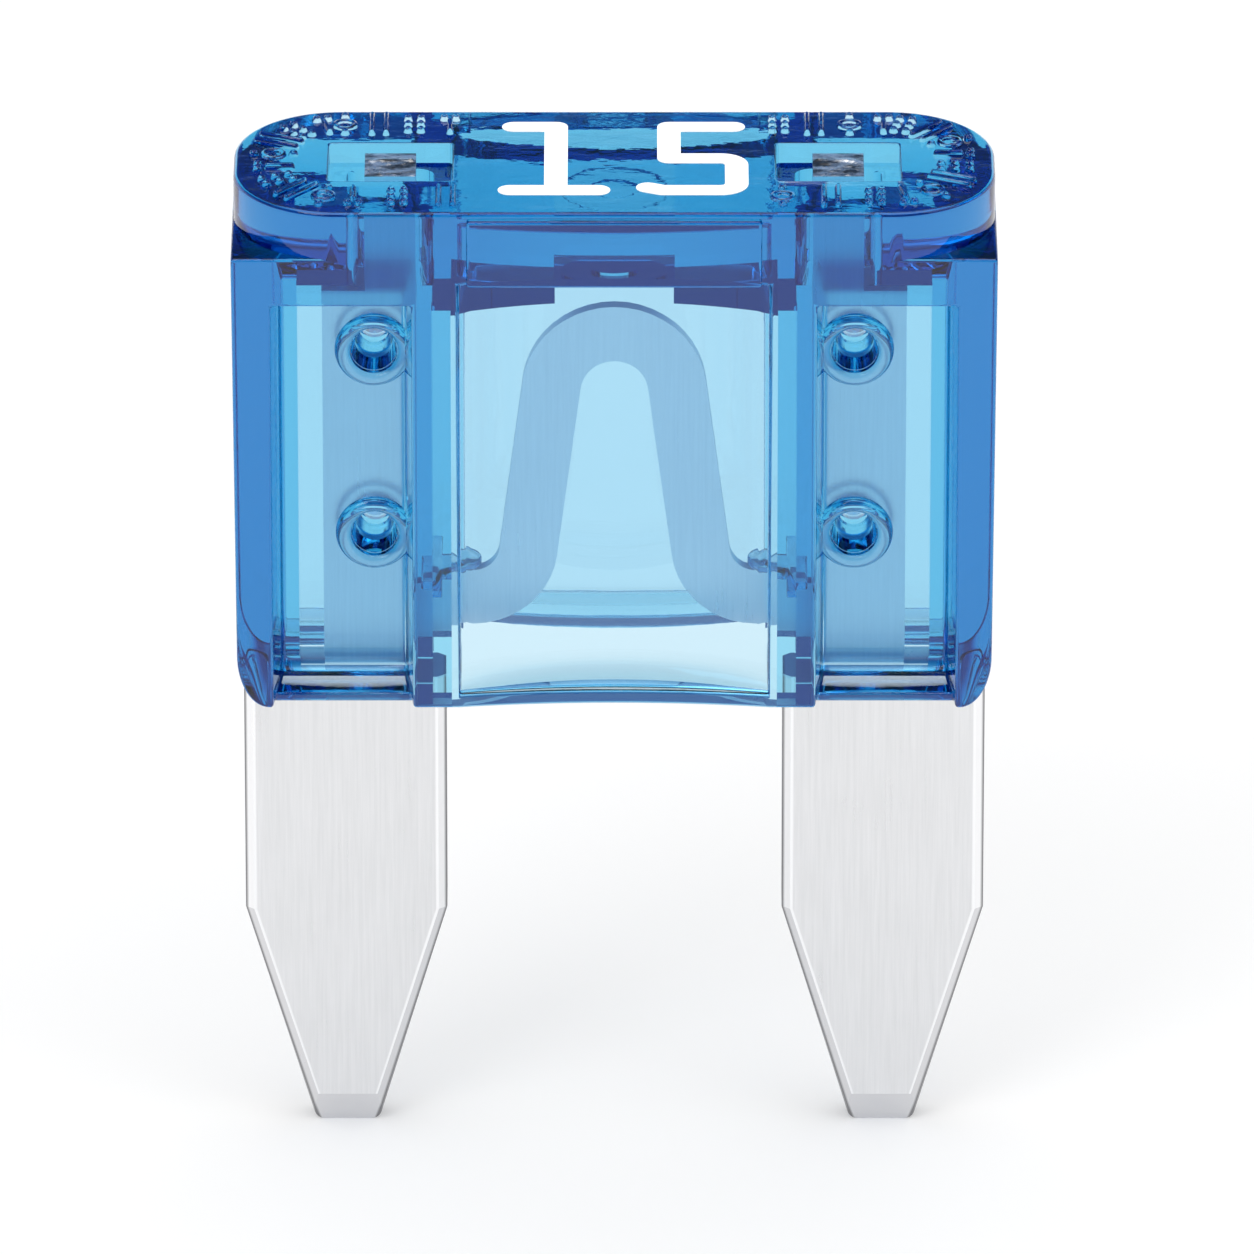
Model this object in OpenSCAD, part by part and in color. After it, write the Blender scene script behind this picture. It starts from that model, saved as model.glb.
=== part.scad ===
// Small automotive blade fuse: a clear blue moulded housing over a one-piece
// stamped element with two blades. The origin is midway between the blade tips,
// X runs across the width, Y through the thickness and Z up.

/* [Housing] */
// Width of the body at its shoulder
body_w = 10.75; // [10.3:0.05:11.4]
// Thickness of the body and of the head's round ends
body_t = 3.6; // [3.3:0.05:4.2]
// Height of the body from its underside to the shoulder
body_h = 6.96; // [6.8:0.02:8]
// How much narrower each side of the body is at its underside
body_draft = 0.04; // [0:0.01:0.1]
// Width of the rounding on the body's lower corners
corner_w = 0.45; // [0.2:0.05:0.5]
// Height of the rounding on the body's lower corners
corner_h = 0.8; // [0.3:0.05:1]
// Height of the head above the shoulder
head_h = 0.7; // [0.5:0.02:1.2]
// Corner radius of the head's round ends, seen from above
head_r = 1.5; // [1:0.05:1.6]
// Height of the bevel round the head's top edge
head_bevel = 0.08; // [0.03:0.01:0.15]

/* [Front and back faces] */
// Width of the raised block in the middle of the head
block_w = 4.14; // [3.6:0.02:4.3]
// How far the raised block stands out of the faces
block_proud = 0.1; // [0.05:0.01:0.2]
// Depth of the raised block below the shoulder
block_drop = 0.4; // [0.2:0.05:0.6]
// Width of the window between the columns
window_w = 4.4; // [4.36:0.01:4.5]
// Depth of the window below the faces, at its sides
window_d = 0.2; // [0.16:0.01:0.25]
// How much deeper the window's curved panel is in its middle
window_sag = 0.33; // [0.2:0.01:0.35]
// Height of the rim below the window
window_rim = 0.2; // [0.1:0.02:0.4]
// How far the faces hollow inwards between the columns
face_sag = 0.15; // [0.05:0.01:0.2]
// Width of each upright column
column_w = 0.64; // [0.5:0.02:0.7]
// Width of the side wall beyond each recessed wing panel
side_wall = 0.55; // [0.45:0.01:0.7]
// Depth of the wing's rim below the faces
wing_rim_d = 0.22; // [0.1:0.02:0.25]
// Depth of the wing panel below the faces
wing_d = 0.98; // [0.8:0.01:1.05]
// How far each side wall of the wing's recess leans in over that depth
wing_draft = 0.12; // [0.02:0.01:0.15]
// How far the top wall of the wing's recess slopes down over that depth
wing_top_fall = 0.27; // [0.02:0.01:0.3]
// Height of the rim below the wing panel
wing_rim = 0.14; // [0.08:0.02:0.3]
// Distance from the shoulder down to the wing panel's top
wing_drop = 0.72; // [0.6:0.02:1]

/* [Stakes] */
// Height of the lower row of stakes above the underside
stake_z = 2.3; // [2.2:0.05:2.6]
// Height between the two rows of stakes
stake_pitch = 2.84; // [2.4:0.05:2.95]
// Distance of the stakes inwards from the middle of each terminal
stake_off = 0.065; // [0.04:0.005:0.1]
// Outer radius of the raised ring round each stake
ring_r = 0.55; // [0.5:0.01:0.6]
// Radius of the ring's round section
ring_bead_r = 0.11; // [0.08:0.01:0.13]
// Radius of the pit at its mouth
pit_r = 0.34; // [0.3:0.01:0.38]
// Radius of the pit at its floor
pit_floor_r = 0.2; // [0.15:0.01:0.25]
// Radius of the plastic post through the element
post_r = 0.36; // [0.34:0.01:0.4]
// Gap between the post and its hole in the element
post_gap = 0.05; // [0.03:0.01:0.08]
// Half the thickness of plastic left between the two pits of a stake
pit_web = 0.5; // [0.3:0.01:0.6]

/* [Inside] */
// Clearance on each side of the blade stock in its slot
slot_gap = 0.04; // [0.02:0.01:0.08]
// Clearance beside the terminals in the slot
slot_side_gap = 0.35; // [0.15:0.05:0.4]
// Clearance above the terminals in the slot
slot_top_gap = 0.1; // [0.05:0.05:0.2]
// How far the chamber reaches behind the columns past the window's side
chamber_over = 0.1; // [0.05:0.01:0.15]
// Thickness of the window's wall
window_wall = 0.3; // [0.25:0.01:0.4]
// How far the hollow behind the columns reaches past the chamber's side
bay_over = 0.27; // [0.2:0.01:0.3]
// Size of the hollow behind the columns, through the thickness
bay_t = 1.84; // [1.6:0.02:2]
// Height of the chamber's ceiling at its sides, below the shoulder
ceiling_drop = 1.02; // [0.9:0.02:1.2]
// Width of the notch in the middle of the chamber's ceiling
notch_w = 1.7; // [1.4:0.02:2]
// Height of the notch in the chamber's ceiling
notch_h = 0.36; // [0.2:0.02:0.5]
// Radius of the round end of each tongue that lies over the link's foot
tongue_r = 0.33; // [0.25:0.01:0.35]
// Thickness of the tongues
tongue_t = 0.12; // [0.1:0.01:0.15]
// Clearance between a tongue and the element
tongue_gap = 0.06; // [0.04:0.01:0.08]
// Distance of a tongue's round end past the window's side
tongue_len = 0.28; // [0.2:0.01:0.3]
// Radius of the round gate mark in the chamber's ceiling
gate_r = 0.76; // [0.5:0.02:0.78]
// Radius of the gate's inner step
gate_step_r = 0.34; // [0.2:0.02:0.4]
// Depth of each step of the gate mark
gate_d = 0.04; // [0.02:0.01:0.12]

/* [Test pockets] */
// Width of each test pocket in the head
pocket_w = 1.74; // [1.5:0.02:1.8]
// Size of each test pocket through the thickness
pocket_t = 1.28; // [1.1:0.02:1.5]
// Depth of each test pocket
pocket_d = 0.3; // [0.2:0.02:0.4]
// Width of the hole in each pocket's floor
hole_w = 1.24; // [1.1:0.02:1.3]
// Corner radius of that hole
hole_r = 0.25; // [0.1:0.01:0.3]

/* [Element] */
// Thickness of the blade stock
blade_t = 0.8; // [0.7:0.02:0.84]
// Width of each blade
blade_w = 2.88; // [2.7:0.02:2.94]
// How far each blade's outer edge lies inside the body's side
blade_inset = 0.105; // [0.1:0.005:0.2]
// Length of each blade below the housing
blade_len = 7.3; // [6.5:0.1:8.6]
// Length of the blade's tapered end
taper_len = 3.45; // [3:0.05:4]
// Width of the blade at its tip
tip_w = 0.97; // [0.9:0.02:1.1]
// Radius of the corners of the blade's tip
tip_r = 0.15; // [0.1:0.01:0.2]
// Thickness of the blade at its tip
tip_t = 0.4; // [0.3:0.02:0.5]
// Height of the bevel across the tip
tip_bevel = 0.49; // [0.35:0.02:0.6]
// Width of the bevel along the blade's edges
edge_bevel = 0.12; // [0.06:0.01:0.15]
// Depth of the bevel along the blade's edges
edge_bevel_d = 0.1; // [0.05:0.01:0.15]
// Width of each terminal inside the housing
term_w = 1.33; // [1.25:0.01:1.4]
// How far each terminal's inner edge lies inside its blade's inner edge
term_inset = 0.4; // [0.35:0.01:0.45]
// Height of each terminal above the housing's underside
term_h = 6.1; // [5.95:0.05:6.2]
// Width of each test tab
tab_w = 0.72; // [0.6:0.02:0.8]
// How far the test tab ends below the top of the head
tab_below = 0.05; // [0.02:0.01:0.2]

/* [Link] */
// Thickness of the link
link_t = 0.2; // [0.16:0.02:0.3]
// Width of the link's strip
link_w = 0.84; // [0.7:0.02:0.88]
// Outer radius of the link's arch
arch_r = 1.33; // [1.25:0.01:1.36]
// Height of the arch's top above the housing's underside
arch_top = 5.52; // [5.3:0.02:5.56]
// Slope of the link's legs away from upright
leg_slope = 7.5; // [6:0.5:8]
// Radius of the bend where a leg turns to its terminal
bend_r = 0.38; // [0.32:0.01:0.4]
// Height of the link's foot above the housing's underside
foot_z = 0.58; // [0.5:0.02:0.7]

/* [Hidden] */
$fn = 64;
fine_fn = 180;
bead_fn = 24;
eps = 0.01;
beyond = 1;

underside = blade_len;
shoulder = underside + body_h;
top = shoulder + head_h;
half_t = body_t / 2;
bottom_half_w = body_w / 2 - body_draft;
corner_steps = 6;

block_z = shoulder - block_drop;
window_half = window_w / 2;
window_z = underside + window_rim;
window_y = half_t - window_d - window_sag;
window_r = (pow(window_half, 2) + pow(window_sag, 2)) / (2 * window_sag);
sag_r = (pow(window_half, 2) + pow(face_sag, 2)) / (2 * face_sag);
wing_in = window_half + column_w;
wing_out = body_w / 2 - side_wall;
wing_y = half_t - wing_d;
wing_top = shoulder - wing_drop;

blade_x = body_w / 2 - blade_inset - blade_w / 2;
term_in = blade_x - blade_w / 2 + term_inset;
term_x = term_in + term_w / 2;
term_out = term_in + term_w;
term_top = underside + term_h;
tab_x = term_in + tab_w / 2;
tab_top = top - tab_below;
stake_x = term_x - stake_off;
stake_rows = [underside + stake_z, underside + stake_z + stake_pitch];

slot_half_t = blade_t / 2 + slot_gap;
slot_out = term_out + slot_side_gap;
slot_top = term_top + slot_top_gap;
chamber_half_w = window_half + chamber_over;
bay_half_w = chamber_half_w + bay_over;
ceiling = shoulder - ceiling_drop;
pocket_floor = top - pocket_d;

arch_z = underside + arch_top - arch_r;
inner_r = arch_r - link_w;
leg_dir = [sin(leg_slope), -cos(leg_slope)];
leg_out = [cos(leg_slope), sin(leg_slope)];
bend_z = underside + foot_z + link_w + bend_r;
bend_x = (leg_out[1] * (arch_z - bend_z) + arch_r + bend_r) / leg_out[0];
leg_len = (arch_z + arch_r * leg_out[1] - bend_z + bend_r * leg_out[1]) / cos(leg_slope);
bend_reach = 2 * (bend_r + link_w);
tongue_z = bend_z - bend_r + tongue_gap;
tongue_root = term_in - tongue_gap;
tongue_web_x = bay_half_w - bay_over / 2;

// Turns a front outline, drawn across and up, into a plate of the given thickness
module upright(thickness) {
    rotate([90, 0, 0])
        linear_extrude(height = thickness, center = true)
            children();
}

// Draws its children on the right and again on the left
module both_sides() {
    children();
    mirror([1, 0, 0]) children();
}

// Draws its children on the front and again on the back
module both_faces() {
    children();
    mirror([0, 1, 0]) children();
}

// A block given by its lowest corner and its highest one
module block(low, high) {
    translate(low) cube(high - low);
}

// Flat outline with four round corners
module round_rect(w, d, r) {
    square([w - 2 * r, d], center = true);
    square([w, d - 2 * r], center = true);
    for (x = [-1, 1], y = [-1, 1])
        translate([x * (w / 2 - r), y * (d / 2 - r)]) circle(r);
}

// The body's front outline, with its draft and its rounded lower corners
module body_outline() {
    corner = [for (i = [0:corner_steps])
        let (a = 90 * i / corner_steps)
        [bottom_half_w - corner_w * (1 - sin(a)), underside + corner_h * (1 - cos(a))]];
    left = [for (i = [corner_steps:-1:0]) [-corner[i][0], corner[i][1]]];
    polygon(concat(corner, [[body_w / 2, shoulder], [-body_w / 2, shoulder]], left));
}

// The head: round-ended slab with a bevelled top edge, and its raised middle block
module head() {
    head_w = body_w - body_draft;
    translate([0, 0, shoulder - eps])
        linear_extrude(head_h - head_bevel + eps) round_rect(head_w, body_t, head_r);
    hull() {
        translate([0, 0, top - head_bevel - eps])
            linear_extrude(eps) round_rect(head_w, body_t, head_r);
        translate([0, 0, top - eps])
            linear_extrude(eps)
                round_rect(head_w - 2 * head_bevel, body_t - 2 * head_bevel, head_r - head_bevel);
    }
    block([-block_w / 2, -half_t - block_proud, block_z],
        [block_w / 2, half_t + block_proud, top - head_bevel]);
}

// Upright cylinder in front of the window, of which both faces of the window's wall are part
module window_curve(wall = 0) {
    translate([0, -window_y - window_r, underside - beyond])
        cylinder(r = window_r + wall, h = body_h + beyond, $fn = fine_fn);
}

// Recessed window with its curved panel, and the shallow hollow in the rim below it
module window_recess() {
    intersection() {
        window_curve();
        block([-window_half, -half_t - beyond, window_z], [window_half, 0, block_z]);
    }
    intersection() {
        translate([0, -half_t - sag_r + face_sag, underside - beyond])
            cylinder(r = sag_r, h = body_h, $fn = fine_fn);
        block([-window_half, -half_t - beyond, underside - beyond], [window_half, 0, window_z + eps]);
    }
}

// Recess of the given depth with leaning side and top walls, from height z upwards
module wing_prism(depth, z) {
    lean = wing_draft * depth / wing_d;
    fall = wing_top_fall * depth / wing_d;
    intersection() {
        translate([0, 0, z])
            linear_extrude(wing_top - z)
                polygon([[wing_in, -half_t - beyond], [wing_in, -half_t], [wing_in + lean, depth - half_t],
                    [wing_out - lean, depth - half_t], [wing_out, -half_t], [wing_out, -half_t - beyond]]);
        rotate([90, 0, 90])
            linear_extrude(body_w)
                polygon([[-half_t - beyond, z], [depth - half_t, z], [depth - half_t, wing_top - fall],
                    [-half_t, wing_top], [-half_t - beyond, wing_top]]);
    }
}

// Recessed wing panel with a lower rim that is itself set back
module wing_recess() {
    wing_prism(wing_rim_d, underside - beyond);
    wing_prism(wing_d, underside + wing_rim);
}

// Raised ring of round section on the wing panel
module stake_ring() {
    bead_x = ring_r - ring_bead_r;
    rotate([90, 0, 0]) {
        rotate_extrude() translate([bead_x, 0]) circle(ring_bead_r, $fn = bead_fn);
        translate([0, 0, -ring_bead_r]) cylinder(r = bead_x, h = ring_bead_r + 2 * eps);
    }
}

// Funnel-shaped pit in the middle of a stake
module stake_pit() {
    pit_depth = wing_y - pit_web + ring_bead_r;
    rotate([90, 0, 0])
        translate([0, 0, pit_web]) cylinder(r1 = pit_floor_r, r2 = pit_r, h = pit_depth);
}

// Slots for the terminals, chamber for the link, and the notch and gate mark in its ceiling
module cavity() {
    both_sides()
        block([bay_half_w - eps, -slot_half_t, underside - beyond], [slot_out, slot_half_t, slot_top]);
    block([-bay_half_w, -bay_t / 2, underside - beyond], [bay_half_w, bay_t / 2, ceiling]);
    difference() {
        union() {
            block([-chamber_half_w, -half_t, underside - beyond], [chamber_half_w, half_t, ceiling]);
            block([-notch_w / 2, -half_t, ceiling - eps], [notch_w / 2, half_t, ceiling + notch_h]);
        }
        both_faces() window_curve(window_wall);
    }
    for (step = [[gate_r, 1], [gate_step_r, 2]])
        translate([0, 0, ceiling + notch_h - eps])
            cylinder(r = step[0], h = gate_d * step[1] + eps);
}

// Tongue over the foot of the link, on a web across the hollow behind the column
module tongue() {
    tip_x = window_half - tongue_len + tongue_r;
    translate([0, 0, tongue_z])
        linear_extrude(tongue_t) {
            translate([tip_x, 0]) circle(tongue_r);
            translate([tip_x, -tongue_r]) square([tongue_root - tip_x, 2 * tongue_r]);
            translate([tongue_web_x, -bay_t / 2 - eps])
                square([tongue_root - tongue_web_x, bay_t + 2 * eps]);
        }
}

// Test pocket in the head, with a round-cornered hole down to the slot
module pocket() {
    block([tab_x - pocket_w / 2, -pocket_t / 2, pocket_floor],
        [tab_x + pocket_w / 2, pocket_t / 2, top + beyond]);
    translate([tab_x, 0, slot_top - eps])
        linear_extrude(pocket_floor - slot_top + 2 * eps)
            round_rect(hole_w, 2 * slot_half_t, hole_r);
}

module housing() {
    color([0.16, 0.45, 0.78, 0.6])
    difference() {
        union() {
            difference() {
                union() {
                    upright(body_t) body_outline();
                    head();
                }
                both_faces() {
                    window_recess();
                    both_sides() wing_recess();
                }
                cavity();
                both_sides() pocket();
            }
            at_stakes() stake();
            both_sides() tongue();
        }
        at_stakes() both_faces() stake_pit();
    }
}

// Draws its children at each of the four stakes
module at_stakes() {
    both_sides()
        for (z = stake_rows)
            translate([stake_x, 0, z]) children();
}

// A post through the slot, with a raised ring on each face
module stake() {
    rotate([90, 0, 0]) cylinder(r = post_r, h = 2 * wing_y - 2 * eps, center = true);
    both_faces() translate([0, -wing_y, 0]) stake_ring();
}

// One blade with bevelled edges and a tapered, bevelled tip
module blade() {
    inset = edge_bevel;
    half_w = blade_w / 2;
    flat = blade_t - 2 * edge_bevel_d;
    hull() {
        upright(flat)
            polygon([[-half_w, taper_len], [-half_w, blade_len], [half_w, blade_len], [half_w, taper_len],
                [tip_w / 2, tip_bevel / 2], [-tip_w / 2, tip_bevel / 2]]);
        upright(blade_t)
            polygon([[-half_w + inset, taper_len], [-half_w + inset, blade_len],
                [half_w - inset, blade_len], [half_w - inset, taper_len],
                [tip_w / 2 - inset / 2, tip_bevel], [-tip_w / 2 + inset / 2, tip_bevel]]);
        for (side = [-1, 1])
            translate([side * (tip_w / 2 - tip_r), 0, tip_r])
                rotate([90, 0, 0]) cylinder(r = tip_r, h = tip_t, center = true, $fn = bead_fn);
    }
}

// Narrow terminal inside the housing, with its stake holes and its test tab
module terminal() {
    difference() {
        union() {
            upright(blade_t)
                translate([term_x - term_w / 2, underside - eps]) square([term_w, term_h + eps]);
            upright(blade_t)
                translate([tab_x - tab_w / 2, term_top - eps]) square([tab_w, tab_top - term_top + eps]);
        }
        at_stakes()
            rotate([90, 0, 0]) cylinder(r = post_r + post_gap, h = 2 * blade_t, center = true);
    }
}

// Half of the link: a quarter of the arch, a sloping leg, a bend and a foot
module half_link() {
    leg_start = [0, arch_z] + arch_r * leg_out;
    translate([0, arch_z])
        intersection() {
            difference() {
                circle(arch_r);
                circle(inner_r);
            }
            polygon([[0, 0], 2 * arch_r * leg_out, [2 * arch_r, 2 * arch_r], [0, 2 * arch_r]]);
        }
    polygon([leg_start, leg_start - link_w * leg_out,
        leg_start - link_w * leg_out + leg_len * leg_dir, leg_start + leg_len * leg_dir]);
    translate([bend_x, bend_z])
        intersection() {
            difference() {
                circle(bend_r + link_w);
                circle(bend_r);
            }
            polygon([[0, 0], -bend_reach * leg_out, [-bend_reach, -bend_reach], [0, -bend_reach]]);
        }
    translate([bend_x - eps, underside + foot_z]) square([term_in + eps * 2 - bend_x, link_w]);
}

module element() {
    color([0.82, 0.83, 0.85])
    union() {
        both_sides() {
            translate([blade_x, 0, 0]) blade();
            terminal();
            upright(link_t) half_link();
        }
    }
}

housing();
element();
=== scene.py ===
"""Looks of a small blade fuse: a clear blue moulded housing over a stamped element."""

import math

import bmesh
import bpy
from mathutils import Matrix, Vector, noise


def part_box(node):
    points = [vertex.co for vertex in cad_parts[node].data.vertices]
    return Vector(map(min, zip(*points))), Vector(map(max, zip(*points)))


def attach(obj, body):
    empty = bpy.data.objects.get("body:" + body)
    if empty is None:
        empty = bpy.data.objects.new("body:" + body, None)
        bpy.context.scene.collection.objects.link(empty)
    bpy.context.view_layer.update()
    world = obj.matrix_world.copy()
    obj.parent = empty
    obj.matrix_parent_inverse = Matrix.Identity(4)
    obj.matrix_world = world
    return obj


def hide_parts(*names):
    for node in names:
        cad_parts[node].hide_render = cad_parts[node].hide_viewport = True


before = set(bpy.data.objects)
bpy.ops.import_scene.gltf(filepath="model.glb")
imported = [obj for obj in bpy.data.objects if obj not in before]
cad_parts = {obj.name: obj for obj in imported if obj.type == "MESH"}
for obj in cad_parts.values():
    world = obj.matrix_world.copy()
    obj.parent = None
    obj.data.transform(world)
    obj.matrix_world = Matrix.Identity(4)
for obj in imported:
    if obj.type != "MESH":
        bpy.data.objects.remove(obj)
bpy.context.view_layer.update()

MM = 0.001
TO_METRES = Matrix.Scale(MM, 4)

# Sizes that the frame gives, in millimetres
housing_low, housing_high = (corner * 1000 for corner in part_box("housing"))
element_low, element_high = (corner * 1000 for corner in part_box("element"))
head_top = housing_high.z
tab_top = element_high.z

# Camera, fitted to the photograph: a long lens a little above the fuse
PHOTO_PX = 1254
PX_PER_MM = 70.3
CAMERA_DISTANCE = 275
CAMERA_ELEVATION = 25.34
AIM = Vector((0.179, 0, 7.721))

# Housing, in the sizes that the CAD model has, but for the ceiling's rise and the web
# between the pits, which follow what refracts in the photograph
HALF_T = 1.8
DRAFT = 0.04
SHOULDER = 14.26
CORNER_W = 0.45
CORNER_H = 0.8
HEAD_R = 1.5
HEAD_BEVEL = 0.08
BLOCK_HALF_W = 2.07
BLOCK_LOW = 13.86
WINDOW_HALF_W = 2.2
WINDOW_LOW = 7.5
WINDOW_D = 0.2
WINDOW_SAG = 0.33
WINDOW_WALL = 0.3
FACE_SAG = 0.15
WING_IN = 2.84
WING_OUT = 4.825
WING_D = 0.98
WING_RIM_D = 0.22
WING_LEAN = 0.12
WING_LOW = 7.44
WING_HIGH = 13.54
WING_TOP_FALL = 0.27
SLOT_OUT = 4.47
SLOT_HALF_T = 0.44
SLOT_HIGH = 13.5
BAY_HALF_W = 2.57
BAY_HALF_T = 0.92
CHAMBER_HALF_W = 2.3
CEILING = 13.24
CEILING_RISE = 0.22
NOTCH_HALF_W = 0.85
NOTCH_HIGH = 13.6
GATE_STEPS = ((0.76, 13.64), (0.34, 13.68))
TONGUE_LOW = 8.78
TONGUE_HIGH = 8.9
TONGUE_X = 2.25
TONGUE_R = 0.33
TONGUE_WEB = 2.435
TONGUE_ROOT = 2.73
POCKET_W = 1.74
POCKET_T = 1.28
POCKET_LOW = 14.66
POCKET_R = 0.06
HOLE_W = 1.24
HOLE_R = 0.25
STAKE_X = 3.39
STAKE_ROWS = (9.6, 12.44)
STAKE_R = 0.55
STAKE_BEAD = 0.11
POST_R = 0.36
POST_SUNK = 0.02
PIT_R = 0.34
PIT_FLOOR_R = 0.2
PIT_WEB = 0.14
BEYOND = 1

# Height from which the head's top is uneven, in metres
TOP_FACE_FROM = 0.01490

# Roundings of the moulding, and the least angle in degrees of an edge that is rounded
SHARP_ANGLE = 28
EDGE_ROUND = 0.045
BLOCK_ROUND = 0.05
MOUTH_ROUND = 0.035
TONGUE_ROUND = 0.03

# Hollowed feet of the recesses: their radius in the wings, and their share of the depth and
# their height in the window
SCOOP = 0.22
WINDOW_SCOOP = 0.42
WINDOW_SCOOP_H = 0.45

# Element: its edges' bevel and the outline of its blades. TAPER_FROM is half the width at
# the tip and its height, and the taper ends at TAPER_TO.
ELEMENT_ROUND = 0.03
BLADE_X = 3.83
BLADE_HALF_W = 1.44
TAPER_FROM = (0.485, 0.245)
TAPER_TO = 3.45

# Test tabs, as the element has them
TAB_X = 3.15
TAB_W = 0.72
TAB_T = 0.8

# Raised ornaments on the head
MARK_HEIGHT = 0.085
MARK_ROOT = 0.03
MARK_INSET = 0.56
MARK_STROKE = 0.1
MARK_CROWN = 0.07
DOT_WIDTH = 0.13
END_MARKS = 8
ROW_FRONT_X = (2.36, 3.04, 3.66)
ROW_BACK_X = (2.32, 2.82, 3.32, 3.8)

# White number on the head: its stroke, its depth, its lines in Y and its strokes' ends in X
STROKE = 0.33
INK_BELOW = 0.02
INK_ABOVE = 0.006
INK_TOP_Y = 1.21
INK_BOTTOM_Y = -0.98
INK_BAR_Y = 0.115
ONE_X = -0.82
ONE_FLAG_X = -1.42
ONE_FOOT_X = (-1.47, -0.22)
FIVE_X = (0.77, 1.72)
FIVE_TOP_X = 1.68
FIVE_BEND = 0.22
FIVE_TAIL = ((0.68, 0), (0.47, 0.09))

# Torn tab ends: the burr's place, waviness, width and height, and the torn part's roughness
TAB_CELLS = 30
TAB_INSET = 0.002
BURR_Y = 0.13
BURR_WAVE = 0.05
BURR_WIDTH = 0.035
BURR_HEIGHT = 0.02
TORN_HEIGHT = 0.0154

# Room that gloss and clear parts see, by height from the horizon (0) to overhead (1)
ROOM_STOPS = [
    (0.0, (1, 1, 1)), (0.08, (0.9, 0.94, 1)), (0.22, (0.3, 0.5, 0.75)),
    (0.36, (0.06, 0.16, 0.38)), (0.6, (0.05, 0.14, 0.34)), (0.8, (0.4, 0.5, 0.66)),
    (0.95, (1.6, 1.6, 1.6)),
]
FLOOR_GLOW = 0.2


class Wire:
    """A shader value that Python's operators work on by adding nodes."""

    def __init__(self, graph, socket):
        self.graph = graph
        self.socket = socket

    def math(self, operation, *values):
        return self.graph.add("ShaderNodeMath", {"operation": operation}, list(values))

    def __add__(self, other):
        return self.math("ADD", self, other)

    def __sub__(self, other):
        return self.math("SUBTRACT", self, other)

    def __rsub__(self, other):
        return self.math("SUBTRACT", other, self)

    def __mul__(self, other):
        return self.math("MULTIPLY", self, other)

    def between(self, low, high):
        """0 at low and below, 1 at high and above, and even in between."""
        ends = {"Value": self, "From Min": low, "From Max": high}
        return self.graph.add("ShaderNodeMapRange", {"clamp": True}, ends)


class Graph:
    """The nodes of one material or world."""

    def __init__(self, owner):
        owner.use_nodes = True
        self.tree = owner.node_tree
        self.tree.nodes.clear()

    def add(self, kind, settings=None, inputs=None, output=0):
        """Adds a node: its settings first, then its sockets. Returns the output asked for."""
        node = self.tree.nodes.new(kind)
        for name, value in (settings or {}).items():
            if name == "stops":
                self.set_stops(node.color_ramp, value)
            else:
                setattr(node, name, value)
        pairs = enumerate(inputs) if isinstance(inputs, list) else (inputs or {}).items()
        for key, value in pairs:
            self.feed(node.inputs[key], value)
        return Wire(self, node.outputs[output])

    def feed(self, socket, value):
        if isinstance(value, Wire):
            self.tree.links.new(value.socket, socket)
        else:
            socket.default_value = value

    def set_stops(self, ramp, stops):
        while len(ramp.elements) < len(stops):
            ramp.elements.new(0.5)
        for element, (place, colour) in zip(ramp.elements, stops):
            element.position = place
            element.color = (*colour, 1)

    def place(self, scale=(1, 1, 1)):
        """Position on the object in metres, stretched by scale."""
        here = self.add("ShaderNodeTexCoord", output="Object")
        return self.add("ShaderNodeMapping", {}, {"Vector": here, "Scale": scale})

    def height(self):
        """Height above the blade tips in metres."""
        return self.add("ShaderNodeSeparateXYZ", {}, {"Vector": self.place()}, output="Z")

    def blade_inset(self):
        """How far inside a blade's outline a point lies, in millimetres, seen from the front."""
        x = self.add("ShaderNodeSeparateXYZ", {}, {"Vector": self.place()}, output="X")
        x = x.math("ABSOLUTE", x) * 1000 - BLADE_X
        tip_half_w, tip_z = TAPER_FROM
        slope = (BLADE_HALF_W - tip_half_w) / (TAPER_TO - tip_z)
        half_w = self.height() * 1000 * slope + (tip_half_w - tip_z * slope)
        return half_w.math("MINIMUM", half_w, BLADE_HALF_W) - x.math("ABSOLUTE", x)

    def facing(self, axis):
        """How squarely the surface faces along one of the object's axes, with its sign."""
        normal = self.add("ShaderNodeTexCoord", output="Normal")
        return self.add("ShaderNodeSeparateXYZ", {}, {"Vector": normal}, output=axis)

    def ray(self, name):
        """1 for rays of the named kind."""
        return self.add("ShaderNodeLightPath", output=name)

    def noise(self, scale, detail=3, roughness=0.5, stretch=(1, 1, 1)):
        return self.add("ShaderNodeTexNoise", {}, {
            "Vector": self.place(stretch), "Scale": scale, "Detail": detail,
            "Roughness": roughness,
        })

    def blend(self, mask, first, second):
        """First colour where mask is 0, second where it is 1."""
        return self.add(
            "ShaderNodeMix",
            {"data_type": "RGBA"},
            {0: mask, 6: (*first, 1) if isinstance(first, tuple) else first,
             7: (*second, 1) if isinstance(second, tuple) else second},
            output=2,
        )

    def bump(self, height, strength, distance):
        return self.add(
            "ShaderNodeBump", {}, {"Height": height, "Strength": strength, "Distance": distance}
        )

    def finish(self, shader, volume=None, kind="ShaderNodeOutputMaterial"):
        sockets = {"Surface": shader}
        if volume:
            sockets["Volume"] = volume
        node = self.tree.nodes.new(kind)
        for key, value in sockets.items():
            self.feed(node.inputs[key], value)


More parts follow.
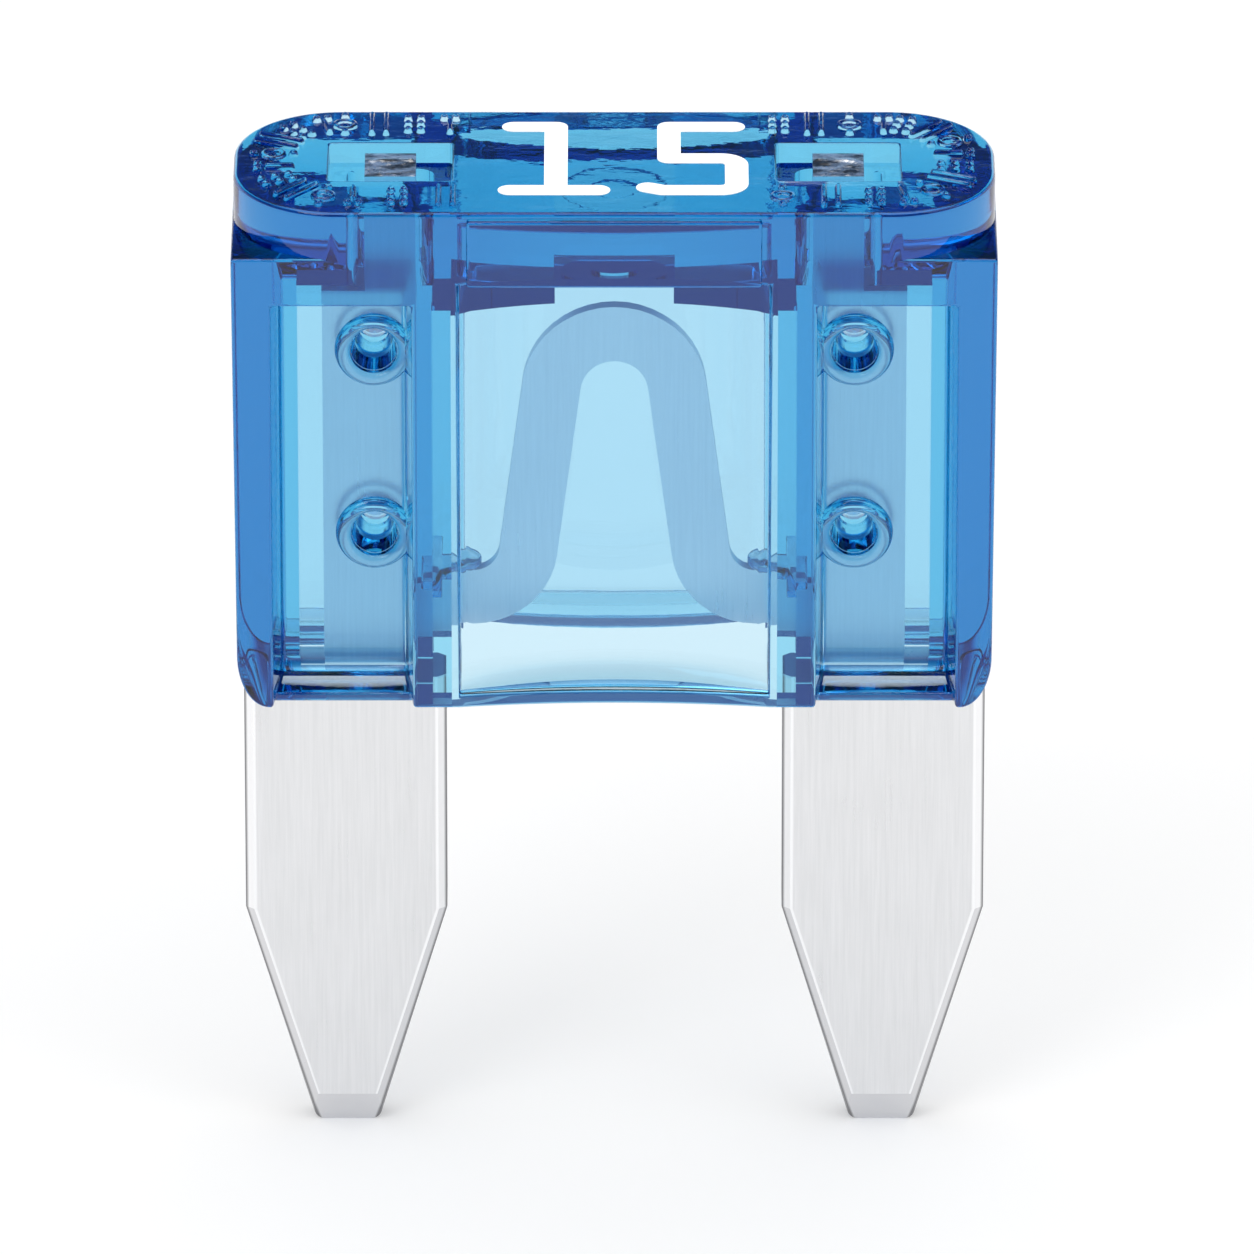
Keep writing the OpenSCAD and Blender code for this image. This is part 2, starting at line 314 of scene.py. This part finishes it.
def clear_blue_plastic():
    """Polished blue polycarbonate: thin walls pass pale light, and thick ones turn deep blue."""
    material = bpy.data.materials.new("clear_blue_plastic")
    g = Graph(material)
    flow = g.noise(420, 2, 0.4)
    ripple = g.noise(1500, 3, 0.5)
    swirl = g.noise(1, 4, 0.55, (800, 1500, 800))
    top_face = g.height().between(TOP_FACE_FROM, TOP_FACE_FROM + 0.0001)
    surface = g.bump(flow + ripple * 0.25 + swirl * top_face * 14, 0.12, 0.00004)
    shader = g.add("ShaderNodeBsdfPrincipled", {}, {
        "Base Color": (0.96, 0.94, 0.975, 1),
        "Roughness": ripple.between(0.4, 0.8) * 0.03 + 0.01,
        "IOR": 1.585,
        "Transmission Weight": 1.0,
        "Normal": surface,
    })
    tint = {"Color": (0.0, 0.72, 0.9, 1), "Density": 1450.0}
    g.finish(shader, g.add("ShaderNodeVolumeAbsorption", {}, tint))
    return material


def plated_metal():
    """Plated stamping: a fine upright grain on its faces and darker cut edges. Light is painted on
    it too: painted highlights on its bevels and in a line just inside them, painted shade along
    its outline and on faces turned down, and painted blue light where it lies inside the plastic.
    """
    material = bpy.data.materials.new("plated_metal")
    g = Graph(material)
    fine = g.noise(1, 4, 0.6, (20000, 20000, 700))
    broad = g.noise(1, 3, 0.5, (2600, 2600, 160))
    cloud = g.noise(900, 4, 0.6)
    grain = fine * 0.65 + broad * 0.15 + cloud * 0.2
    inside = g.height().between(0.00725, 0.00735)
    plain = g.blend(grain.between(0.3, 0.7), (0.71, 0.715, 0.725), (0.825, 0.825, 0.835))
    # Painted blue light: inside the plastic the metal is painted lighter and blue, in place of the
    # blue light that reaches it through the plastic.
    painted_blue_light = g.blend(grain.between(0.3, 0.7), (0.63, 0.73, 0.86), (0.75, 0.85, 0.97))
    across, down = g.facing("Y"), g.facing("Z") * -1
    across = across.math("ABSOLUTE", across)
    inset = g.blade_inset()
    # Dark band along the blade's outline and over its sheared sides: partly the sheared metal's
    # own duller tone, partly painted shade. Faces turned down get painted shade here too.
    rim = 1 - inset.between(0.012, 0.045)
    rim = rim.math("MAXIMUM", rim, down.between(0.5, 0.7))
    # Painted highlight on bevels and sides, and painted shade where they turn down.
    cut = g.blend(down.between(0.05, 0.15), (0.9, 0.9, 0.91), (0.7, 0.7, 0.715))
    cut = g.blend(rim, cut, (0.24, 0.24, 0.25))
    # Painted highlight: a bright line just inside the bevel round the blade's outline.
    corner = inset.between(0.105, 0.12) * (1 - inset.between(0.15, 0.17))
    face = g.blend(corner, plain, (0.95, 0.95, 0.96))
    shader = g.add("ShaderNodeBsdfPrincipled", {}, {
        "Base Color": g.blend(
            across.between(0.94, 0.97),
            # Edges inside the plastic also take painted blue light.
            g.blend(inside, cut, (0.45, 0.6, 0.78)),
            g.blend(inside, face, painted_blue_light),
        ),
        "Metallic": 1.0,
        "Roughness": grain.between(0.3, 0.75) * 0.12 + cloud * 0.08 + 0.22,
        "Normal": g.bump(grain, 0.35, 0.000004),
    })
    g.finish(shader)
    return material


def sheared_metal():
    """The torn end of a test tab, where the stamping was cut from its strip."""
    material = bpy.data.materials.new("sheared_metal")
    g = Graph(material)
    grit = g.noise(14000, 4, 0.65)
    smear = g.noise(1, 4, 0.6, (2600, 6500, 2600))
    shader = g.add("ShaderNodeBsdfPrincipled", {}, {
        "Base Color": g.blend(smear.between(0.38, 0.62), (0.1, 0.097, 0.095), (0.97, 0.96, 0.94)),
        "Metallic": 1.0,
        "Roughness": grit * 0.25 + 0.18,
        "Normal": g.bump(grit, 0.5, 0.00002),
    })
    g.finish(shader)
    return material


def glowing_white_ink():
    """Printed number: matt white, with a faint unevenness and a painted glow."""
    material = bpy.data.materials.new("glowing_white_ink")
    g = Graph(material)
    coat = g.noise(5200, 3, 0.5)
    shader = g.add("ShaderNodeBsdfPrincipled", {}, {
        "Base Color": g.blend(coat, (0.93, 0.94, 0.95), (1, 1, 1)),
        "Roughness": coat * 0.2 + 0.4,
        "Normal": g.bump(coat, 0.1, 0.000004),
        # Painted light: a faint glow keeps the ink white, though it is no lamp.
        "Emission Color": (1, 1, 1, 1),
        "Emission Strength": 0.25,
    })
    g.finish(shader)
    return material


def seen_in_gloss(g):
    """1 for rays from a gloss or a clear part, and 0 for others."""
    glossy, through = g.ray("Is Glossy Ray"), g.ray("Is Transmission Ray")
    return glossy.math("MAXIMUM", glossy, through)


def seen_plainly(g):
    """1 for rays from the camera, a gloss or a clear part, and 0 for light on a matt surface."""
    camera, sent_on = g.ray("Is Camera Ray"), seen_in_gloss(g)
    return camera.math("MAXIMUM", camera, sent_on)


def pale_floor():
    """White sweep that keeps a soft shadow."""
    material = bpy.data.materials.new("pale_floor")
    g = Graph(material)
    matt = g.add("ShaderNodeBsdfDiffuse", {}, {"Color": (0.78, 0.78, 0.78, 1)})
    glow = g.add("ShaderNodeEmission", {}, {
        "Color": (1, 1, 1, 1), "Strength": seen_plainly(g) * FLOOR_GLOW,
    })
    g.finish(g.add("ShaderNodeAddShader", {}, [matt, glow]))
    return material


def new_piece(name, bm, material):
    """Turns a mesh in millimetres into a piece in metres that rides on the fuse."""
    bm.transform(TO_METRES)
    mesh = bpy.data.meshes.new(name)
    bm.to_mesh(mesh)
    bm.free()
    piece = bpy.data.objects.new(name, mesh)
    bpy.context.scene.collection.objects.link(piece)
    mesh.materials.append(material)
    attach(piece, "root")
    return piece


def scratch_object(bm):
    """A throw-away object for a Boolean, in millimetres."""
    mesh = bpy.data.meshes.new("scratch")
    bm.to_mesh(mesh)
    bm.free()
    thing = bpy.data.objects.new("scratch", mesh)
    bpy.context.scene.collection.objects.link(thing)
    return thing


def combined(base, others, operation):
    """The base with all the others added, or cut away, in millimetres."""
    thing = scratch_object(base)
    tools = [scratch_object(other) for other in others]
    group = bpy.data.collections.new("scratch_group")
    for tool in tools:
        group.objects.link(tool)
    cut = thing.modifiers.new("cut", "BOOLEAN")
    cut.operation = operation
    cut.solver = "EXACT"
    cut.operand_type = "COLLECTION"
    cut.collection = group
    bpy.context.view_layer.update()
    result = thing.evaluated_get(bpy.context.evaluated_depsgraph_get())
    bm = bmesh.new()
    bm.from_mesh(result.to_mesh())
    bpy.data.collections.remove(group)
    for old in [thing, *tools]:
        bpy.data.objects.remove(old)
    return bm


def united(base, others):
    return combined(base, others, "UNION")


def carved(base, cutters):
    """Cuts the cutters away one after the other."""
    for cutter in cutters:
        base = combined(base, [cutter], "DIFFERENCE")
    return base


def loft(layers):
    """A closed skin through layers of points, as many in each, with flat ends."""
    bm = bmesh.new()
    loops = [[bm.verts.new(point) for point in layer] for layer in layers]
    count = len(loops[0])
    for lower, upper in zip(loops, loops[1:]):
        for i in range(count):
            j = (i + 1) % count
            bm.faces.new((lower[i], lower[j], upper[j], upper[i]))
    bm.faces.new(loops[-1])
    bm.faces.new(loops[0][::-1])
    bmesh.ops.recalc_face_normals(bm, faces=bm.faces)
    return bm


def level(outline, z):
    """A plan outline at height z."""
    return [Vector((x, y, z)) for x, y in outline]


def standing(outline, y):
    """A front outline at depth y."""
    return [Vector((x, y, z)) for x, z in outline]


def upward(outline, low, high):
    return loft([level(outline, low), level(outline, high)])


def box(low, high):
    corners = [(low[0], low[1]), (high[0], low[1]), (high[0], high[1]), (low[0], high[1])]
    return upward(corners, low[2], high[2])


def circle(r, steps, centre=(0, 0)):
    turns = [2 * math.pi * i / steps for i in range(steps)]
    return [(centre[0] + r * math.cos(a), centre[1] + r * math.sin(a)) for a in turns]


def round_rect(w, d, r, steps, centre_x=0.0):
    """Plan outline with round corners, anticlockwise from the right."""
    points = []
    for i, (sx, sy) in enumerate(((1, 1), (-1, 1), (-1, -1), (1, -1))):
        for j in range(steps + 1):
            a = math.radians(90 * (i + j / steps))
            x = centre_x + sx * (w / 2 - r) + r * math.cos(a)
            points.append((x, sy * (d / 2 - r) + r * math.sin(a)))
    return points


def quarter(radius, steps=4):
    """Inset and drop of the points of a rounded edge, from the wall to the flat."""
    turns = [math.radians(90 * i / steps) for i in range(steps + 1)]
    return [(radius * (1 - math.cos(a)), radius * (1 - math.sin(a))) for a in turns]


def arc_depth(x, half_w, sag):
    """How much deeper a hollow of the given sag is at x than at its sides."""
    r = (half_w ** 2 + sag ** 2) / (2 * sag)
    return math.sqrt(r * r - x * x) - (r - sag)


def mirrored(bm, x=1, y=1):
    """A copy turned over to the other side."""
    other = bm.copy()
    other.transform(Matrix.Diagonal((x, y, 1, 1)))
    if x * y < 0:
        bmesh.ops.reverse_faces(other, faces=other.faces)
    return other


def rounded(bm, radius):
    """Rounds every edge that is sharper than SHARP_ANGLE."""
    bmesh.ops.dissolve_limit(bm, angle_limit=math.radians(0.2), verts=bm.verts, edges=bm.edges)
    sharp = [
        edge for edge in bm.edges
        if len(edge.link_faces) == 2 and edge.calc_face_angle() > math.radians(SHARP_ANGLE)
    ]
    bmesh.ops.bevel(
        bm, geom=sharp, offset=radius, offset_type="OFFSET", segments=3, profile=0.5,
        affect="EDGES", clamp_overlap=False, loop_slide=True,
    )
    return bm


def soften(mesh, angle):
    """Smooth shading that stops at edges sharper than angle."""
    for face in mesh.polygons:
        face.use_smooth = True
    mesh.set_sharp_from_angle(angle=math.radians(angle))


def capsule(start, end, width, low, high, crown=0.0, steps=10):
    """A bar with round ends between two points, with a slightly crowned top."""
    bm = bmesh.new()
    along = end - start
    angle = math.atan2(along.y, along.x)
    rings = []
    layers = [(1.0, low), (1.0, high - crown), (0.72, high - crown * 0.3), (0.35, high)]
    if crown == 0:
        layers = [(1.0, low), (1.0, high)]
    for share, z in layers:
        ring = []
        for centre, turn in ((end, -90), (start, 90)):
            for i in range(steps + 1):
                a = angle + math.radians(turn + 180 * i / steps)
                ring.append(bm.verts.new((
                    centre.x + math.cos(a) * width / 2 * share,
                    centre.y + math.sin(a) * width / 2 * share,
                    z,
                )))
        rings.append(ring)
    count = len(rings[0])
    for lower, upper in zip(rings, rings[1:]):
        for i in range(count):
            j = (i + 1) % count
            bm.faces.new((lower[i], lower[j], upper[j], upper[i]))
    bm.faces.new(rings[-1])
    bm.faces.new(list(reversed(rings[0])))
    return bm


def flat_stroke(points, width, low, high):
    """Capsules along a line of points, to be united into one stroke."""
    points = [Vector(point) for point in points]
    return [capsule(a, b, width, low, high) for a, b in zip(points, points[1:])]


def print_number():
    """The white 15 on the head."""
    low, high = head_top - INK_BELOW, head_top + INK_ABOVE
    flag = [(ONE_FLAG_X, INK_TOP_Y), (ONE_X, INK_TOP_Y), (ONE_X, INK_BOTTOM_Y)]
    one = flat_stroke(flag, STROKE, low, high)
    one += flat_stroke([(x, INK_BOTTOM_Y) for x in ONE_FOOT_X], STROKE, low, high)
    left, right = FIVE_X
    bend = FIVE_BEND
    turns = [math.radians(15 * i) for i in range(7)]
    corner = [
        (right - bend + bend * math.sin(a), INK_BAR_Y - bend + bend * math.cos(a)) for a in turns
    ]
    foot = [
        (right - bend + bend * math.cos(a), INK_BOTTOM_Y + bend - bend * math.sin(a))
        for a in turns
    ]
    tail = [(x, INK_BOTTOM_Y + rise) for x, rise in FIVE_TAIL]
    five = flat_stroke(
        [(FIVE_TOP_X, INK_TOP_Y), (left, INK_TOP_Y), (left, INK_BAR_Y)], STROKE, low, high
    )
    five += flat_stroke([(left, INK_BAR_Y)] + corner + foot + tail, STROKE, low, high)
    ink = glowing_white_ink()
    for name, strokes in (("white_one", one), ("white_five", five)):
        piece = new_piece(name, united(strokes[0], strokes[1:]), ink)
        soften(piece.data, 60)


def ring_bead(radius, bead, steps, sides):
    """A ring of round section that lies round Z."""
    bm = bmesh.new()
    loops = []
    for i in range(steps):
        a = 2 * math.pi * i / steps
        loop = []
        for j in range(sides):
            b = 2 * math.pi * j / sides
            reach, z = radius + bead * math.cos(b), bead * math.sin(b)
            loop.append(bm.verts.new((math.cos(a) * reach, math.sin(a) * reach, z)))
        loops.append(loop)
    for a, b in zip(loops, loops[1:] + loops[:1]):
        for j in range(sides):
            k = (j + 1) % sides
            bm.faces.new((a[j], b[j], b[k], a[k]))
    bmesh.ops.recalc_face_normals(bm, faces=bm.faces)
    return bm


def raised_mark(kind, centre, turn):
    """One small raised ornament of bars, beads or a ring. None of them is a letter."""
    low, high = head_top - MARK_ROOT, head_top + MARK_HEIGHT
    radial = Vector((math.cos(turn), math.sin(turn)))
    across = Vector((-radial.y, radial.x))

    def bar(offset, start, end):
        middle = centre + across * offset
        ends = middle + radial * start, middle + radial * end
        return capsule(*ends, MARK_STROKE, low, high, MARK_CROWN, 6)

    def dot(along, offset):
        middle, half = centre + across * offset + radial * along, radial * 0.005
        return capsule(middle - half, middle + half, DOT_WIDTH, low, high, MARK_CROWN, 6)

    if kind == "ring":
        ring = ring_bead(0.14, 0.045, 24, 8)
        ring.transform(Matrix.Translation((*centre, head_top + 0.012)))
        return [ring, dot(0.28, 0), dot(-0.28, 0)]
    if kind == "bars":
        return [bar(-0.1, -0.3, 0.3), bar(0.1, -0.3, 0.3)]
    if kind == "beads":
        return [dot(a, b) for a in (-0.2, 0, 0.2) for b in (-0.09, 0.09)]
    return [bar(0, -0.26, 0.08), dot(0.22, -0.08), dot(0.22, 0.08)]


def end_places():
    """Places and outward directions of the ornaments round the right end of the head."""
    half_w = housing_high.x - DRAFT / 2 - MARK_INSET
    half_d = HALF_T - MARK_INSET
    r = HEAD_R - MARK_INSET
    arc = math.pi / 2 * r
    straight = 2 * (half_d - r)
    places = []
    for i in range(END_MARKS):
        along = (2 * arc + straight) * (i + 0.5) / END_MARKS
        if along < arc:
            turn = along / r - math.pi / 2
            middle = Vector((half_w - r, r - half_d))
            places.append((middle + Vector((math.cos(turn), math.sin(turn))) * r, turn))
        elif along < arc + straight:
            places.append((Vector((half_w, along - arc - straight / 2)), 0.0))
        else:
            turn = (along - arc - straight) / r
            middle = Vector((half_w - r, half_d - r))
            places.append((middle + Vector((math.cos(turn), math.sin(turn))) * r, turn))
    return places


def raised_marks():
    """Plain ornaments round both ends of the head, and in rows before and behind the pockets."""
    kinds = ["bars", "ring", "spur", "beads"]
    row_y = HALF_T - MARK_INSET
    places = [(Vector((x, -row_y)), -math.pi / 2) for x in ROW_FRONT_X]
    places += end_places()
    places += [(Vector((x, row_y)), math.pi / 2) for x in reversed(ROW_BACK_X)]
    marks = []
    for side in (-1, 1):
        for i, (centre, turn) in enumerate(places):
            kind = kinds[(i * 3 + (side > 0)) % 4]
            here = Vector((side * centre.x, centre.y))
            marks += raised_mark(kind, here, turn if side > 0 else math.pi - turn)
    return marks


def body_slab():
    """The body below the head, with its window and wing recesses on both faces."""
    bottom = housing_high.x - DRAFT
    turns = [math.radians(90 * i / 16) for i in range(17)]
    right = [
        (bottom - CORNER_W * (1 - math.sin(a)), housing_low.z + CORNER_H * (1 - math.cos(a)))
        for a in turns
    ]
    outline = right + [(housing_high.x, SHOULDER), (-housing_high.x, SHOULDER)]
    outline += [(-x, z) for x, z in reversed(right)]
    slab = loft([standing(outline, -HALF_T), standing(outline, HALF_T)])
    steps = [WINDOW_HALF_W * (i / 24 - 1) for i in range(49)]
    front = [(WINDOW_HALF_W, -HALF_T - BEYOND), (-WINDOW_HALF_W, -HALF_T - BEYOND)]
    window = []
    hollow = [WINDOW_D + arc_depth(x, WINDOW_HALF_W, WINDOW_SAG) for x in steps]
    for rise in (0, 0.25, 0.5, 0.75, 1):
        share = 1 - WINDOW_SCOOP * (1 - rise) ** 2
        outline = front + [(x, -HALF_T + share * depth) for x, depth in zip(steps, hollow)]
        window.append(level(outline, WINDOW_LOW + WINDOW_SCOOP_H * rise))
    window.append(level(outline, BLOCK_LOW))
    rim = front + [(x, -HALF_T + arc_depth(x, WINDOW_HALF_W, FACE_SAG)) for x in steps]
    cutters = [
        loft(window),
        upward(rim, housing_low.z - BEYOND, WINDOW_LOW + 0.001),
        wing_recess(),
    ]
    cutters.append(mirrored(cutters[2], x=-1))
    return carved(slab, cutters + [mirrored(cutter, y=-1) for cutter in cutters])


def wing_recess():
    """Cutter for a wing's recess and the set-back rim below it. Its side and top walls lean."""
    under = housing_low.z - BEYOND
    outer, inner, rim = -BEYOND, WING_D, WING_RIM_D
    turns = [math.radians(90 * i / 8) for i in range(9)]
    scoop = [
        (inner - SCOOP * (1 - math.cos(a)), WING_LOW + SCOOP * (1 - math.sin(a))) for a in turns
    ]
    profile = [
        (outer, under), (outer, WING_HIGH - WING_TOP_FALL * outer / WING_D),
        (inner, WING_HIGH - WING_TOP_FALL), *scoop, (rim, WING_LOW), (rim, under),
    ]
    layers = [
        [Vector((x + way * WING_LEAN * depth / WING_D, depth - HALF_T, z)) for depth, z in profile]
        for x, way in ((WING_IN, 1), (WING_OUT, -1))
    ]
    return loft(layers)


def head_slab():
    """Round-ended head with a rounded top edge. It reaches down into the body."""
    w = 2 * housing_high.x - DRAFT
    d = 2 * HALF_T
    layers = [level(round_rect(w, d, HEAD_R, 24), SHOULDER - 0.3)]
    for inset, drop in quarter(HEAD_BEVEL):
        outline = round_rect(w - 2 * inset, d - 2 * inset, HEAD_R - inset, 24)
        layers.append(level(outline, head_top - drop))
    return loft(layers)


def pocket_cutters():
    """One test pocket with a rounded mouth, and the hole in its floor."""
    layers = [level(round_rect(POCKET_W, POCKET_T, POCKET_R, 4, TAB_X), POCKET_LOW)]
    for inset, drop in quarter(MOUTH_ROUND, 3):
        grow = 2 * inset
        outline = round_rect(POCKET_W + grow, POCKET_T + grow, POCKET_R + inset, 4, TAB_X)
        layers.append(level(outline, head_top - drop))
    layers.append([point + Vector((0, 0, BEYOND)) for point in layers[-1]])
    hole = round_rect(HOLE_W, 2 * SLOT_HALF_T, HOLE_R, 8, TAB_X)
    return [loft(layers), upward(hole, SLOT_HIGH - 0.01, POCKET_LOW + 0.01)]


def chamber_cutter(half_w, low, high, rise=0.0):
    """Cutter for the chamber between the two curved window walls. Its ceiling may rise to
    the back."""
    steps = [half_w * (i / 24 - 1) for i in range(49)]
    r = (WINDOW_HALF_W ** 2 + WINDOW_SAG ** 2) / (2 * WINDOW_SAG)
    middle = -HALF_T + WINDOW_D + WINDOW_SAG - r
    front = [(x, middle + math.sqrt((r + WINDOW_WALL) ** 2 - x * x)) for x in steps]
    outline = front + [(x, -y) for x, y in reversed(front)]
    slope = rise / (2 * HALF_T)
    roof = [Vector((x, y, high + (y + HALF_T) * slope)) for x, y in outline]
    return loft([level(outline, low), roof])


def tongue_form():
    """One tongue over the foot of the link, with its web across the hollow behind the column."""
    web_y = BAY_HALF_T + 0.01
    turns = [math.radians(90 + 180 * i / 20) for i in range(21)]
    outline = [(TONGUE_ROOT, -web_y), (TONGUE_ROOT, web_y)]
    outline += [(TONGUE_WEB, web_y), (TONGUE_WEB, TONGUE_R)]
    outline += [(TONGUE_X + TONGUE_R * math.cos(a), TONGUE_R * math.sin(a)) for a in turns]
    outline += [(TONGUE_WEB, -TONGUE_R), (TONGUE_WEB, -web_y)]
    return rounded(upward(outline, TONGUE_LOW, TONGUE_HIGH), TONGUE_ROUND)


def stake_forms():
    """Posts and rings to add, and pits to cut, for all the stakes."""
    panel = HALF_T - WING_D
    lay_back = Matrix.Rotation(math.radians(90), 4, "X")
    added, pits = [], []
    for x in (-STAKE_X, STAKE_X):
        for z in STAKE_ROWS:
            post = circle(POST_R, 48, (x, z))
            reach = panel - POST_SUNK
            added.append(loft([standing(post, -reach), standing(post, reach)]))
            for face in (-1, 1):
                ring = ring_bead(STAKE_R - STAKE_BEAD, STAKE_BEAD, 64, 20)
                ring.transform(Matrix.Translation((x, face * panel, z)) @ lay_back)
                added.append(ring)
                pit = ((PIT_FLOOR_R, PIT_WEB), (PIT_R, panel + STAKE_BEAD), (PIT_R, HALF_T))
                pits.append(loft([standing(circle(r, 48, (x, z)), face * y) for r, y in pit]))
    return added, pits


def moulding():
    """The whole housing in millimetres, with rounded edges and its raised ornaments. The ends
    of the cutters lie at heights of their own, so that no two faces fall together."""
    body = rounded(body_slab(), EDGE_ROUND)
    middle = box((-BLOCK_HALF_W, housing_low.y, BLOCK_LOW),
                 (BLOCK_HALF_W, housing_high.y, head_top - HEAD_BEVEL))
    whole = united(body, [head_slab()])
    whole = united(whole, [rounded(middle, BLOCK_ROUND)])
    deep = housing_low.z - BEYOND
    slot = box((BAY_HALF_W - 0.01, -SLOT_HALF_T, deep), (SLOT_OUT, SLOT_HALF_T, SLOT_HIGH))
    cutters = [
        mirrored(slot, x=-1),
        slot,
        box((-BAY_HALF_W, -BAY_HALF_T, deep - 0.1), (BAY_HALF_W, BAY_HALF_T, CEILING)),
        chamber_cutter(CHAMBER_HALF_W, deep - 0.2, CEILING + 0.0005, CEILING_RISE),
        chamber_cutter(NOTCH_HALF_W, CEILING - 0.01, NOTCH_HIGH),
    ]
    cutters += [upward(circle(r, 64), NOTCH_HIGH - 0.01, z) for r, z in GATE_STEPS]
    pocket = pocket_cutters()
    cutters += pocket + [mirrored(cutter, x=-1) for cutter in pocket]
    whole = carved(whole, cutters)
    added, pits = stake_forms()
    tongue = tongue_form()
    for piece in [mirrored(tongue, x=-1), tongue, *added]:
        whole = united(whole, [piece])
    whole = carved(whole, pits)
    return united(whole, raised_marks())


def sheared_tab_end(side, metal):
    """The rough end of one test tab: a smooth rolled strip behind a wavy burr, then torn metal."""
    bm = bmesh.new()
    cells = TAB_CELLS
    rows = []
    for j in range(cells + 1):
        v = j / cells
        row = []
        for i in range(cells + 1):
            u = i / cells
            x = (u - 0.5) * (TAB_W - 2 * TAB_INSET)
            y = (v - 0.5) * (TAB_T - 2 * TAB_INSET)
            here = Vector((x * 7 + side * 5, y * 7, 0))
            burr_y = BURR_Y + BURR_WAVE * noise.noise(Vector((x * 6, side * 3, 0)))
            rise = BURR_HEIGHT * math.exp(-((y - burr_y) / BURR_WIDTH) ** 2)
            if y < burr_y:
                rise += TORN_HEIGHT * noise.fractal(here * 1.6, 0.6, 2.2, 4)
            fall = min(min(u, 1 - u, v, 1 - v) * cells / 2, 1)
            z = tab_top + 0.004 + fall * (0.006 + rise)
            row.append(bm.verts.new((side * TAB_X + x, y, z)))
        rows.append(row)
    for a, b in zip(rows, rows[1:]):
        for i in range(cells):
            bm.faces.new((a[i], a[i + 1], b[i + 1], b[i]))
    rim = [edge for edge in bm.edges if edge.is_boundary]
    skirt = bmesh.ops.extrude_edge_only(bm, edges=rim)
    low = [v for v in skirt["geom"] if isinstance(v, bmesh.types.BMVert)]
    for vert in low:
        vert.co.z = tab_top - 0.03
    bmesh.ops.contextual_create(bm, geom=[e for e in bm.edges if e.is_boundary])
    bmesh.ops.recalc_face_normals(bm, faces=bm.faces)
    name = "sheared_tab_end_left" if side < 0 else "sheared_tab_end_right"
    piece = new_piece(name, bm, metal)
    soften(piece.data, 50)


def even_shading(piece, angle):
    """Smooth shading in which the large flat faces stay flat up to their rounded edges."""
    soften(piece.data, angle)
    weigh = piece.modifiers.new("even", "WEIGHTED_NORMAL")
    weigh.mode = "FACE_AREA"
    weigh.weight = 80
    weigh.keep_sharp = True


def dress_housing(plastic):
    """The moulding in one skin takes the place of the CAD's housing."""
    piece = new_piece("moulded_housing", moulding(), plastic)
    even_shading(piece, 35)
    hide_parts("housing")


def dress_element(metal):
    """The stamping keeps its CAD mesh, with a fine round on its edges."""
    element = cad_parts["element"]
    element.data.materials.clear()
    element.data.materials.append(metal)
    fine = element.modifiers.new("fine_edges", "BEVEL")
    fine.width = ELEMENT_ROUND * MM
    fine.segments = 3
    fine.limit_method = "ANGLE"
    fine.angle_limit = math.radians(30)
    fine.harden_normals = True


def make_floor():
    """A floor at the height of the blade tips."""
    bm = bmesh.new()
    bmesh.ops.create_grid(bm, x_segments=1, y_segments=1, size=2)
    mesh = bpy.data.meshes.new("floor")
    bm.to_mesh(mesh)
    bm.free()
    floor = bpy.data.objects.new("floor", mesh)
    bpy.context.scene.collection.objects.link(floor)
    mesh.materials.append(pale_floor())


def light_room():
    """White to the eye and on matt surfaces. Gloss and clear parts see a bright horizon under a
    dim blue ceiling that is bright again overhead."""
    world = bpy.data.worlds.new("studio")
    bpy.context.scene.world = world
    g = Graph(world)
    direction = g.add("ShaderNodeTexCoord", output="Generated")
    height = g.add("ShaderNodeSeparateXYZ", {}, {"Vector": direction}, output="Z")
    room = g.add("ShaderNodeValToRGB", {"stops": ROOM_STOPS}, {"Fac": height})
    seen = g.blend(seen_in_gloss(g), (1, 1, 1), room)
    g.finish(g.add("ShaderNodeBackground", {}, {"Color": seen}), kind="ShaderNodeOutputWorld")
    for name, place, size, power in (
        ("key", (-90, -120, 160), 90, 0.06),
        ("fill", (130, -60, 120), 110, 0.03),
    ):
        lamp = bpy.data.lights.new(name, "AREA")
        lamp.size = size * MM
        lamp.energy = power
        thing = bpy.data.objects.new(name, lamp)
        thing.location = Vector(place) * MM
        thing.rotation_euler = (AIM * MM - thing.location).to_track_quat("-Z", "Y").to_euler()
        bpy.context.scene.collection.objects.link(thing)


def set_camera():
    """The photograph's view."""
    lens = bpy.data.cameras.new("camera")
    camera = bpy.data.objects.new("camera", lens)
    tilt = math.radians(CAMERA_ELEVATION)
    back = Vector((0, -math.cos(tilt), math.sin(tilt)))
    camera.location = (AIM + CAMERA_DISTANCE * back) * MM
    camera.rotation_euler = (math.radians(90) - tilt, 0, 0)
    lens.sensor_width = 36
    lens.lens = PX_PER_MM * CAMERA_DISTANCE * lens.sensor_width / PHOTO_PX
    lens.clip_start = 0.01
    lens.clip_end = 10
    bpy.context.scene.collection.objects.link(camera)
    bpy.context.scene.camera = camera


bpy.context.scene.view_settings.view_transform = "Standard"
# Light passes many walls of clear plastic, so it needs many bounces
light_paths = bpy.context.scene.cycles
light_paths.max_bounces = light_paths.transmission_bounces = 22
light_paths.glossy_bounces = 14
dress_housing(clear_blue_plastic())
dress_element(plated_metal())
print_number()
torn = sheared_metal()
for side in (-1, 1):
    sheared_tab_end(side, torn)
make_floor()
light_room()
set_camera()
